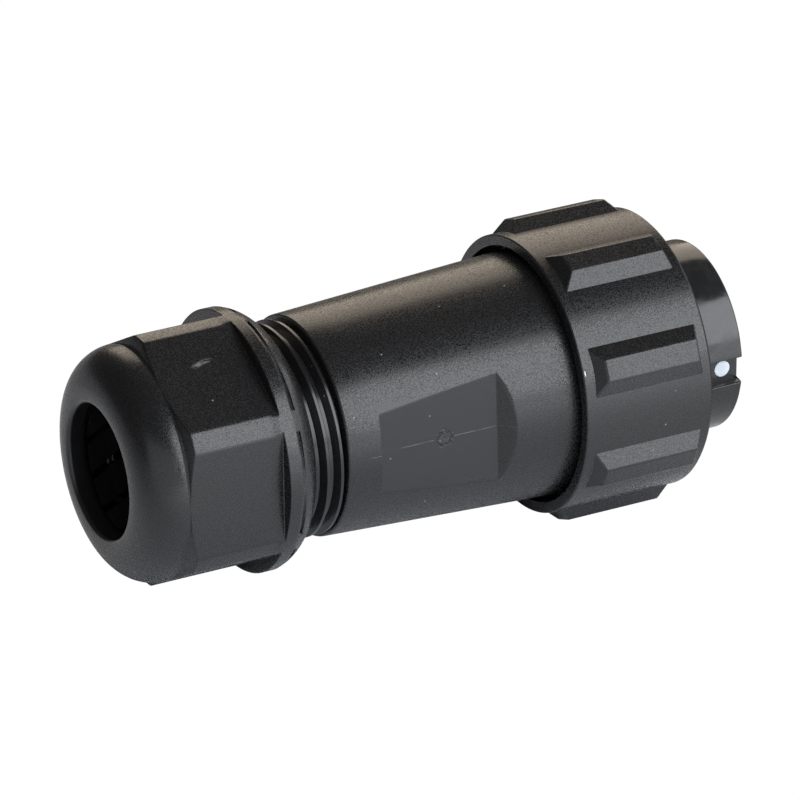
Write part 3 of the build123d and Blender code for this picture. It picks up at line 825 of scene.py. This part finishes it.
def trunk_rows(sizes, shoulder, collar, from_corner):
    """Rows from the shoulder along the flats and up the steep wall at their collar end."""
    rows = strip_rows(sizes, shoulder, from_corner)
    start, height = rows[-1]
    slope, root_radius, growth = sizes.root_slope, sizes.root_radius, sizes.strip_growth
    round_rise = root_radius * (1 - cos(slope))
    full = sizes.collar_radius - sizes.flat_radius
    root = collar - root_radius * sin(slope) - (full - round_rise) / tan(slope)
    for share in (0.2, 0.4, 0.6, 0.8, 1.0):
        rows.append((start + (root - growth - start) * share, height))
    step = sizes.collar_radius - sizes.corner_radius
    for share in (0.15, 0.3, 0.5, 0.7, 0.85, 0.94, 1.0):
        corner = sizes.corner_radius + step * share * share * (3 - 2 * share)
        rows.append((root - growth + growth * share, over_flat(sizes, from_corner, corner)))
    room = np.clip(sizes.collar_radius * np.cos(HALF_SIDE - from_corner) - sizes.flat_radius, 0, full)
    for share in (0.02, 0.05, 0.1, 0.17, 0.27, 0.4, 0.55, 0.7, 0.85, 1.0):
        height = room * share
        swing = np.arccos(1 - np.clip(height / root_radius, 0, 1 - cos(slope)))
        run = root_radius * np.sin(swing) + np.maximum(height - round_rise, 0) / tan(slope)
        rows.append((root + run, over_flat(sizes, from_corner, sizes.collar_radius, height)))
    return rows


def collar_rows(sizes, collar, end, from_corner):
    """Rows round the collar, with its groove that is broken at the corners, to the rear face."""
    radius, rear_radius = sizes.collar_radius, sizes.collar_rear_radius
    straight = collar + sizes.collar_straight
    rows = [(x, radius) for x in (collar + 0.04 * MM, collar + 0.14 * MM, straight - 0.1 * MM)]
    bulge = ((straight + end) / 2 + 0.25 * MM, (radius + rear_radius) / 2 + 0.3 * MM)
    last = (end - 0.08 * MM, rear_radius + 0.1 * MM)
    strip = strip_half(sizes)
    from_middle = np.clip((HALF_SIDE - from_corner) / (HALF_SIDE - strip), 0, 1)
    along = np.where(from_corner > strip, from_middle**0.8, 0)
    half = sizes.groove_width / 2 * np.sqrt(np.maximum(along, 0.01))
    centre = end - sizes.groove_offset
    for x, outside in arc_through((straight, radius), bulge, last, 64):
        across = np.clip((half + 0.04 * MM - abs(x - centre)) / (0.08 * MM), 0, 1)
        rows.append((x, outside - sizes.groove_depth * across * along))
    return rows + softened([last, (end, rear_radius, 0.06 * MM), (end, sizes.bore_radius)])[1:-1]


def nut_inside(sizes, nose, end):
    """Inner profile from the rear face back to the hole's rim, over the cage's seat."""
    lip = BOX["clamp_cage"][1].z + 0.15 * MM
    waist = lip - 0.75 * MM
    step = nose + 7.6 * MM
    land, snap = step - 0.6 * MM, step - 1.8 * MM
    throat = nose + 2.6 * MM
    corners = [
        (end, sizes.collar_rear_radius),
        (end, sizes.bore_radius, EDGE, 3),
        (step, sizes.bore_radius, EDGE_FINE, 2),
        (step, waist),
        (land, waist),
        (land, lip),
        (snap, lip),
        (snap, waist),
        (nose + 5.2 * MM, waist),
        (throat, sizes.hole_radius + 1.1 * MM),
        (throat, sizes.hole_radius),
        (nose + 2.0 * MM, sizes.hole_radius),
    ]
    return softened(corners)[1:]


class CONNECTOR_OT_gland_nut(bpy.types.Operator):
    """Build the gland nut's shell, with its dome, flats, turned corners and broken groove"""

    bl_idname = "connector.gland_nut"
    bl_label = "Gland nut"

    def execute(self, context):
        sizes = context.scene.connector_nut
        nose, end = rear("gland_nut"), front("gland_nut")
        shoulder, collar = nose + sizes.nose_radius, end - sizes.collar_length
        offsets = nut_columns(sizes)
        corners = sizes.turn + np.arange(6) * pi / 3
        angles = (corners[:, None] + offsets[None, :]).ravel()
        from_corner = np.abs(np.tile(offsets, 6))
        rows = nose_rows(sizes, nose)
        rows += trunk_rows(sizes, shoulder, collar, from_corner)
        rows += collar_rows(sizes, collar, end, from_corner)
        rows += nut_inside(sizes, nose, end)
        count = len(angles)
        x, radius = np.array([[np.broadcast_to(part, count) for part in row] for row in rows]).swapaxes(0, 1)
        shell = skin("gland_nut_shell", x, radius, angles[None, :])
        dress(shell, "gland_nut", "nut_body", finish("nut_black"))
        return {"FINISHED"}


def barrel_columns(edge):
    """Columns as angles from the nearer flat's middle and as angles from the first flat's middle.

    The edge is the angle at which a flat meets the barrel in each row. Columns crowd on both sides of it.
    """
    rest = [0.27, 0.33, 0.4, 0.48, 0.56, 0.64, 0.72, 0.79, 0.85, 0.9, 0.94, 0.97, 0.985, 0.995]
    on_flat = np.concatenate([np.linspace(0, 0.22, 13), rest])[None, :]
    beside = np.concatenate([[0.0, 0.004, 0.01, 0.02, 0.035, 0.06], np.linspace(0.09, 1.0, 26)])[None, :]
    half = np.concatenate([edge * on_flat, edge + (QUARTER - edge) * beside], axis=1)
    side = np.concatenate([-half[:, ::-1], half[:, 1:]], axis=1)[:, 1:]
    return np.concatenate([side, side], axis=1), np.concatenate([side, side + pi], axis=1)


def gate_mark(sizes, x, offset):
    """Depth of the shallow ring and dimple that the moulding gate left on the first flat."""
    across = sizes.flat_radius * np.tan(np.clip(offset, -0.5, 0.5)) - sizes.gate_aside
    away = np.hypot(across, x - sizes.gate_place)
    ring = np.clip(1 - np.abs(away - sizes.gate_radius) / (0.16 * MM), 0, 1) ** 2
    dimple = np.clip(1 - away / (0.3 * MM), 0, 1)
    mark = 0.03 * MM * ring + 0.05 * MM * dimple
    mark[:, offset.shape[1] // 2 :] = 0
    return mark


def housing_rows(sizes, cone):
    """Profile of the housing round the points of its barrel, as the rows before, on and after the barrel."""
    tail, journal_end = rear("housing"), front("housing")
    groove_rear, groove_front = rear("ring_retainer") - SEAT, front("ring_retainer") + SEAT
    groove = sizes.journal_radius - sizes.spring_groove_depth
    spigot_end = rear("plug_sleeve") - 0.3 * MM
    seat_rear = front("gland_seal") + SEAT
    seat_front = seat_rear + sizes.seat_thickness
    before = [
        (tail, sizes.chamber_radius),
        (tail, sizes.thread_root, EDGE_SOFT, 3),
        (sizes.shoulder, sizes.thread_root, EDGE, 3),
        (sizes.shoulder, sizes.barrel_rear_radius, 0.32 * MM, 6),
        cone[0],
    ]
    after = [
        cone[-1],
        (sizes.barrel_end, BOX["housing"][1].z, EDGE_WIDE, 3),
        (sizes.barrel_end, sizes.journal_radius, EDGE, 3),
        (groove_rear, sizes.journal_radius),
        (groove_rear, groove),
        (groove_front, groove),
        (groove_front, sizes.journal_radius),
        (journal_end, sizes.journal_radius, EDGE_SOFT, 3),
        (journal_end, sizes.spigot_bore, EDGE, 3),
        (spigot_end, sizes.spigot_bore),
        (spigot_end, sizes.chamber_radius),
        (seat_front, sizes.chamber_radius, 0.3 * MM, 3),
        (seat_front, sizes.seat_radius, EDGE_FINE, 3),
        (seat_rear, sizes.seat_radius, EDGE_FINE, 3),
        (seat_rear, sizes.chamber_radius, EDGE_SOFT, 3),
        (tail, sizes.chamber_radius, EDGE_SOFT, 3),
        (tail, sizes.thread_root),
    ]
    return softened(before)[1:-1], cone, softened(after)[1:-1]


def housing_barrel(sizes):
    """Shell of the housing as a grid, with columns that follow the edges of the flats."""
    flat_rear, gate = sizes.flat_rear, sizes.gate_place
    flat_front = flat_rear + sizes.flat_length
    lens = flat_front + 2.1 * MM
    slope = (BOX["housing"][1].z - sizes.barrel_rear_radius) / (sizes.barrel_end - sizes.shoulder)
    places = [flat_rear - 0.5 * MM]
    for start, end, count in (
        (flat_rear - 0.4 * MM, flat_rear + 0.15 * MM, 14),
        (flat_rear + 0.5 * MM, gate - 1.6 * MM, 9),
        (gate - 1.4 * MM, gate + 1.4 * MM, 31),
        (gate + 1.9 * MM, flat_front - 0.5 * MM, 8),
        (flat_front - 0.15 * MM, lens, 28),
        (lens + 0.6 * MM, sizes.barrel_end - 0.5 * MM, 10),
    ):
        places += list(np.linspace(start, end, count))
    cone = [(x, sizes.barrel_rear_radius + slope * (x - sizes.shoulder)) for x in places]
    rows = housing_rows(sizes, cone)
    profile = np.array(sum(rows, []))
    x = profile[:, :1]
    on_barrel = slice(len(rows[0]), len(rows[0]) + len(cone))
    nearest = sizes.barrel_rear_radius + slope * (np.clip(x, flat_rear, flat_front) - sizes.shoulder)
    offset, angle = barrel_columns(np.arccos(sizes.flat_radius / nearest))
    radius = np.repeat(profile[:, 1:], angle.shape[1], axis=1)
    front_rise = (x - flat_front) / tan(sizes.front_slope)
    rise = np.maximum(front_rise, (flat_rear - x) / tan(sizes.rear_slope))
    plane = (sizes.flat_radius + np.maximum(rise, 0)) / np.cos(offset * 0.999)
    lowered = soft_min(radius, plane, 0.07 * MM) - gate_mark(sizes, x, offset)
    radius[on_barrel] = lowered[on_barrel]
    return skin("housing_barrel", x, radius, angle + sizes.flat_turn)


def thread_section(sizes):
    """Flat-topped section of the thread's ridge with rounded crests, sunk a little in the root."""
    depth, pitch, sunk = sizes.thread_crest - sizes.thread_root, sizes.thread_pitch, 0.25 * MM
    crest_round = 0.06 * MM
    corners = [
        (-sunk, -0.46 * pitch),
        (depth, -0.1 * pitch, crest_round, 3),
        (depth, 0.1 * pitch, crest_round, 3),
        (-sunk, 0.46 * pitch),
    ]
    points = spread(softened(corners), 1 * MM, crest_round)
    mesh = bpy.data.meshes.new("thread_section")
    edges = [(index, (index + 1) % len(points)) for index in range(len(points))]
    mesh.from_pydata([(x, y, 0) for x, y in points], edges, [])
    return mesh


def housing_thread(sizes):
    """Helical ridge of the tail, swept along a spiral by a geometry tree."""
    tree, values, inputs = node_tree("Thread", {"Root Radius": "Float", "Pitch": "Float", "Turns": "Float"})
    spiral = {
        "Resolution": 144,
        "Rotations": values["Turns"],
        "Start Radius": values["Root Radius"],
        "End Radius": values["Root Radius"],
        "Height": values["Turns"] * values["Pitch"],
        "Reverse": True,
    }
    coil = add_node(tree, "GeometryNodeCurveSpiral", spiral)
    upright = add_node(tree, "GeometryNodeSetCurveNormal", {"Curve": coil}, {"mode": "Z_UP"})
    section = add_node(tree, "GeometryNodeMeshToCurve", {"Mesh": values["Geometry"]})
    sweep = {"Curve": upright, "Profile Curve": section, "Fill Caps": True}
    ridge = add_node(tree, "GeometryNodeCurveToMesh", sweep)
    pitch = sizes.thread_pitch
    under = sizes.crest_place + pitch * (sizes.crest_turn + QUARTER) / (2 * pi)
    start = under - pitch * floor((under - rear("housing") - 0.5 * pitch) / pitch)
    settings = {
        "Root Radius": sizes.thread_root,
        "Pitch": pitch,
        "Turns": (sizes.shoulder + 0.4 * MM - start) / pitch,
        "Material": finish("housing_black"),
    }
    mesh = grown("thread_ridge", tree, ridge, values["Material"], inputs, settings, thread_section(sizes))
    mesh.transform(Matrix.Translation((start, 0, 0)) @ Matrix.Rotation(QUARTER, 4, "Y"))
    mesh.shade_smooth()
    return mesh


class CONNECTOR_OT_housing(bpy.types.Operator):
    """Build the housing's barrel with its wrench flats, and grow the thread on its tail"""

    bl_idname = "connector.housing"
    bl_label = "Housing"

    def execute(self, context):
        sizes = context.scene.connector_housing
        barrel, thread = housing_barrel(sizes), housing_thread(sizes)
        for mesh in (barrel.data, thread):
            mesh.set_sharp_from_angle(angle=SHARP)
        whole = joined("housing_shell", barrel, thread)
        dress(whole, "housing", "housing_body", finish("housing_black"))
        return {"FINISHED"}


def ring_shell(sizes):
    """Turned body of the coupling ring, open through the middle."""
    back, ahead = rear("coupling_ring"), front("coupling_ring")
    flange_rear = back + sizes.mouth_depth
    flange_front = flange_rear + sizes.flange
    thread_front = ahead - sizes.lead_in
    thread_rear = thread_front - sizes.thread_length
    corners = [
        (back, sizes.mouth_radius, EDGE, 3),
        (flange_rear, sizes.mouth_radius, EDGE_SOFT, 3),
        (flange_rear, sizes.journal_bore, 0.08 * MM, 2),
        (flange_front, sizes.journal_bore, 0.08 * MM, 2),
        (flange_front, sizes.cavity_radius, EDGE_SOFT, 3),
        (thread_rear - sizes.lead_out, sizes.cavity_radius),
        (thread_rear, sizes.crest_radius, 0.06 * MM, 2),
        (thread_front, sizes.crest_radius, 0.06 * MM, 2),
        (ahead, sizes.crest_radius + sizes.flare, EDGE_FINE, 3),
        (ahead, sizes.radius - sizes.chamfer, EDGE_FINE, 3),
        (ahead - sizes.chamfer, sizes.radius, EDGE_FINE, 3),
        (back, sizes.radius, 0.22 * MM, 5),
    ]
    return lathe("ring_shell", corners, 288, 1.2 * MM)


def rib_mesh(sizes):
    """One grip rib pointing to -Y: a trapezoid with sloped ends and softened edges."""
    back, ahead = rear("coupling_ring") + sizes.rib_gap, front("coupling_ring") - sizes.rib_gap
    top = sizes.radius + sizes.rib_height
    half_base, half_top = sizes.rib_base / 2, sizes.rib_top / 2
    base = sqrt(sizes.radius**2 - half_base**2)
    low = base - sizes.rib_root
    wide = half_base + sizes.rib_root * (half_base - half_top) / (top - base)
    drop = (sizes.radius - low) / sizes.rib_height
    levels = (
        (-low, wide, back - drop * sizes.rib_rear_run, ahead + drop * sizes.rib_front_run),
        (-top, half_top, back + sizes.rib_rear_run, ahead - sizes.rib_front_run),
    )
    corners = []
    for y, half, start, end in levels:
        corners += [(start, y, -half), (end, y, -half), (end, y, half), (start, y, half)]
    faces = [(0, 1, 2, 3), (4, 5, 6, 7), (0, 1, 5, 4), (1, 2, 6, 5), (2, 3, 7, 6), (3, 0, 4, 7)]
    mesh = bpy.data.meshes.new("grip_rib")
    mesh.from_pydata(corners, [], faces)
    work = bmesh.new()
    work.from_mesh(mesh)
    bmesh.ops.recalc_face_normals(work, faces=work.faces)
    upper = [edge for edge in work.edges if any(vert.co.y < -top + 1e-6 for vert in edge.verts)]
    shape = {"offset": EDGE_SOFT, "segments": 3, "profile": 0.5, "affect": "EDGES", "clamp_overlap": True}
    rounds = set(bmesh.ops.bevel(work, geom=upper, **shape)["faces"])
    for face in work.faces:
        face.smooth = True
    for edge in work.edges:
        edge.smooth = all(face in rounds for face in edge.link_faces)
    work.to_mesh(mesh)
    work.free()
    return mesh


def ring_ribs(sizes):
    """Copies of the rib round the ring, placed by a geometry tree."""
    tree, values, inputs = node_tree("Grip ribs", {"Count": "Int", "Turn": "Float"})
    points = add_node(tree, "GeometryNodePoints", {"Count": values["Count"]})
    index = add_node(tree, "GeometryNodeInputIndex")
    angle = -(values["Turn"] + index * (2 * pi) / values["Count"])
    spin = add_node(tree, "ShaderNodeCombineXYZ", {"X": angle})
    copied = {"Points": points, "Instance": values["Geometry"], "Rotation": spin}
    copies = add_node(tree, "GeometryNodeInstanceOnPoints", copied)
    settings = {"Count": sizes.rib_count, "Turn": sizes.rib_turn, "Material": finish("ring_black")}
    return grown("grip_ribs", tree, copies, values["Material"], inputs, settings, rib_mesh(sizes))


class CONNECTOR_OT_coupling_ring(bpy.types.Operator):
    """Build the coupling ring and set its grip ribs round it"""

    bl_idname = "connector.coupling_ring"
    bl_label = "Coupling ring"

    def execute(self, context):
        sizes = context.scene.connector_ring
        whole = joined("coupling_ring_shell", ring_shell(sizes), ring_ribs(sizes))
        dress(whole, "coupling_ring", "coupling_ring_body", finish("ring_black"))
        return {"FINISHED"}


def sleeve_profile(sizes, outside, rim):
    """Closed profile of the sleeve, whose front part outside has its own radius and rim."""
    back, ahead = rear("plug_sleeve"), front("plug_sleeve")
    key_rear = ahead - sizes.keyway_length
    seal, half_groove = (rear("sleeve_seal") + front("sleeve_seal")) / 2, sizes.seal_groove_width / 2
    groove_rear, groove_front = seal - half_groove, seal + half_groove
    flange_front = rear("interface_gasket") - SEAT
    flange_rear = flange_front - sizes.flange_thickness
    corners = [
        (back, sizes.bore_radius, EDGE_FINE, 3),
        (back, sizes.radius, sizes.rear_round, 5),
        (groove_rear, sizes.radius, 0.08 * MM, 2),
        (groove_rear, sizes.seal_groove_radius, EDGE_FINE, 2),
        (groove_front, sizes.seal_groove_radius, EDGE_FINE, 2),
        (groove_front, sizes.radius, 0.08 * MM, 2),
        (flange_rear, sizes.radius),
        (flange_rear, sizes.flange_radius, EDGE_WIDE, 3),
        (flange_front, sizes.flange_radius, EDGE_WIDE, 3),
        (flange_front, sizes.land_radius),
        (0.0, sizes.land_radius),
        (0.0, sizes.radius, 0.05 * MM, 2),
        (key_rear - 1.5 * MM, sizes.radius),
        (key_rear, sizes.radius),
        (key_rear, outside),
        (ahead - 2.2 * MM, outside),
        (ahead, outside, rim, 8),
        (ahead, sizes.lip_radius, EDGE_SOFT, 3),
        (ahead - sizes.lip_length, sizes.lip_radius),
        (ahead - sizes.lip_length, sizes.bore_radius),
    ]
    return np.array(softened(corners, 3))


def sleeve_shell(sizes):
    """Grid whose columns crowd at the keyway's walls, so that the slot has straight sides."""
    profile = sleeve_profile(sizes, sizes.radius, sizes.rim)
    slot = sleeve_profile(sizes, sizes.radius - sizes.keyway_depth, EDGE_FINE)
    keyed = profile[:, 1] - slot[:, 1] > 1e-9
    half = sizes.keyway_width / 2
    edge = asin(half / sizes.radius)
    columns = []
    for across in half * np.linspace(-1, 1, 13):
        high = np.sqrt(np.maximum(profile[:, 1] ** 2 - across**2, 0))
        high = np.where(keyed, slot[:, 1], high)
        columns.append(np.stack([slot[:, 0], -high, np.full_like(high, across)], axis=-1))
    walls = (0.0, 0.003, 0.007, 0.013, 0.02, 0.03, 0.05)
    around = [edge + share for share in walls]
    around += [edge + (2 * pi - 2 * edge) * share for share in np.linspace(0.02, 0.98, 120)[1:-1]]
    around += [2 * pi - edge - share for share in reversed(walls)]
    for angle in around:
        from_edge = min(angle, 2 * pi - angle) - edge
        inward = np.clip(EDGE - from_edge * sizes.radius, 0, EDGE)
        radius = profile[:, 1] - np.where(keyed, EDGE - sqrt(EDGE**2 - inward**2), 0)
        columns.append(np.stack([profile[:, 0], -radius * cos(angle), radius * sin(angle)], axis=-1))
    shell = grid_object("plug_sleeve_shell", np.stack(columns, axis=1))
    shell.data.set_sharp_from_angle(angle=SHARP)
    return shell


class CONNECTOR_OT_plug_sleeve(bpy.types.Operator):
    """Build the plug sleeve with its flange, seal groove and keyway"""

    bl_idname = "connector.plug_sleeve"
    bl_label = "Plug sleeve"

    def execute(self, context):
        shell = sleeve_shell(context.scene.connector_sleeve)
        dress(shell, "plug_sleeve", "housing_body", finish("smooth_black"))
        return {"FINISHED"}


def mark_mesh(low, high):
    """Round disc between two corners, with a softened edge at its -Y face and a closed back."""
    radius, centre = (high.x - low.x) / 2, (low + high) / 2
    columns, steps = 48, 6
    rings = [(radius, high.y)]
    for step in range(steps + 1):
        swing = QUARTER * step / steps
        rings.append((radius - EDGE * (1 - cos(swing)), low.y + EDGE_FINE * (1 - sin(swing))))
    work = bmesh.new()
    loops = []
    for ring_radius, depth in rings:
        loop = []
        for turn in full_circle(columns):
            along, up = ring_radius * cos(turn), ring_radius * sin(turn)
            loop.append(work.verts.new((centre.x + along, depth, centre.z + up)))
        loops.append(loop)
    top = work.verts.new((centre.x, low.y, centre.z))
    work.faces.new(loops[0])
    for column in range(columns):
        after = (column + 1) % columns
        for first, second in zip(loops, loops[1:]):
            work.faces.new((first[column], first[after], second[after], second[column]))
        work.faces.new((loops[-1][column], loops[-1][after], top))
    mesh = bpy.data.meshes.new("index_mark_disc")
    work.to_mesh(mesh)
    work.free()
    return mesh


class CONNECTOR_OT_index_mark(bpy.types.Operator):
    """Build the white index mark in the keyway"""

    bl_idname = "connector.index_mark"
    bl_label = "Index mark"

    def execute(self, context):
        disc = finished_object("index_mark_disc", mark_mesh(*BOX["index_mark"]))
        disc.data.set_sharp_from_angle(angle=SHARP)
        dress(disc, "index_mark", "housing_body", finish("mark_white"))
        return {"FINISHED"}


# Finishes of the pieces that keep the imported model's meshes
INNER_FINISHES = {
    "clamp_cage": "cage_plastic",
    "thrust_washer": "insert_plastic",
    "gland_seal": "seal_rubber",
    "sleeve_seal": "seal_rubber",
    "interface_gasket": "seal_rubber",
    "ring_retainer": "spring_steel",
    "contact_insert": "insert_plastic",
    "insert_lock_ring": "insert_plastic",
    "terminal_screws": "screw_steel",
    "contact_earth": "contact_brass",
    **{f"contact_{number}": "contact_brass" for number in range(1, 7)},
}


class CONNECTOR_OT_inner_pieces(bpy.types.Operator):
    """Give the pieces that keep their own mesh their finishes"""

    bl_idname = "connector.inner_pieces"
    bl_label = "Inner pieces"

    def execute(self, context):
        for node, name in INNER_FINISHES.items():
            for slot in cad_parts[node].material_slots:
                slot.material = finish(name)
        return {"FINISHED"}


class CONNECTOR_PT_panel(bpy.types.Panel):
    """Sidebar panel with one button for each step"""

    bl_label = "Cable connector"
    bl_idname = "CONNECTOR_PT_panel"
    bl_space_type = "VIEW_3D"
    bl_region_type = "UI"
    bl_category = "Connector"

    def draw(self, context):
        column = self.layout.column(align=True)
        for operator in OPERATORS:
            column.operator(operator.bl_idname)


GROUPS = {
    "connector_nut": NutSizes,
    "connector_housing": HousingSizes,
    "connector_ring": RingSizes,
    "connector_sleeve": SleeveSizes,
    "connector_colours": FinishColours,
    "connector_stage": StageSizes,
}
OPERATORS = (
    CONNECTOR_OT_stage,
    CONNECTOR_OT_gland_nut,
    CONNECTOR_OT_housing,
    CONNECTOR_OT_coupling_ring,
    CONNECTOR_OT_plug_sleeve,
    CONNECTOR_OT_index_mark,
    CONNECTOR_OT_inner_pieces,
)
CLASSES = (*GROUPS.values(), *OPERATORS, CONNECTOR_PT_panel)


def register():
    """Registers the groups, the operators and the panel."""
    for kind in CLASSES:
        bpy.utils.register_class(kind)
    for name, group in GROUPS.items():
        setattr(bpy.types.Scene, name, PointerProperty(type=group))


def unregister():
    """Takes the panel, the operators and the groups away again."""
    for name in GROUPS:
        delattr(bpy.types.Scene, name)
    for kind in reversed(CLASSES):
        bpy.utils.unregister_class(kind)


def main():
    """Builds everything in order."""
    register()
    bpy.ops.connector.stage()
    bpy.ops.connector.gland_nut()
    bpy.ops.connector.housing()
    bpy.ops.connector.coupling_ring()
    bpy.ops.connector.plug_sleeve()
    bpy.ops.connector.index_mark()
    bpy.ops.connector.inner_pieces()


if __name__ == "__main__":
    main()
